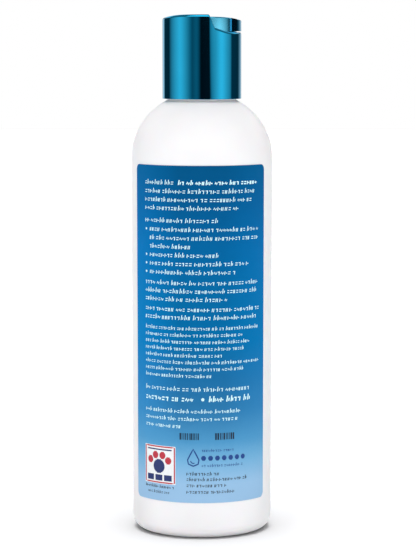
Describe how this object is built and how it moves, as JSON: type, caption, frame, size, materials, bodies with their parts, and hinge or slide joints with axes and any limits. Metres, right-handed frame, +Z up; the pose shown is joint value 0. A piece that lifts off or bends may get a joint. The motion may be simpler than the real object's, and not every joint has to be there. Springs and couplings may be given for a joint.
{
  "type": "shampoo bottle",
  "caption": "Round white bottle with a domed shoulder, wrap labels and a metallised screw cap whose disc tilts up to open a spout.",
  "frame": {"origin": "centre of the base, on the surface the bottle stands on", "axes": "+Z up the bottle's axis, +X towards the disc's spout, -Y towards the back label"},
  "size_m": [0.055, 0.0554, 0.2017],
  "materials": {
    "bottle_white": "satin-gloss blow-moulded polyethylene",
    "label_blue": "printed blue gradient under a satin varnish",
    "metallised_teal": "mirror-bright tinted metallising",
    "cap_white": "plain moulded polypropylene",
    "liner_foam": "closed-cell foam"
  },
  "bodies": {
    "bottle": {"bottle": "bottle_white", "back_label": "label_blue", "front_label": "label_blue"},
    "liner": {"sealing_liner": "liner_foam"},
    "cap": {"cap_body": "cap_white", "cap_shell": "metallised_teal"},
    "disc": {"disc": "metallised_teal"}
  },
  "joints": [
    {"name": "cap_rise", "type": "slide", "parent": "bottle", "child": "liner", "axis": [0, 0, 1], "range_m": [0, 0.018]},
    {"name": "cap_turn", "type": "hinge", "parent": "liner", "child": "cap", "pos_m": [0, 0, 0.1692], "axis": [0, 0, 1], "range_deg": [0, 1531]},
    {"name": "disc_tilt", "type": "hinge", "parent": "cap", "child": "disc", "pos_m": [0, 0, 0.1974], "axis": [0, -1, 0], "range_deg": [0, 24]}
  ],
  "couplings": [
    {"joint": "cap_turn", "follows": "cap_rise", "rad_per_m": 1484.2}
  ]
}
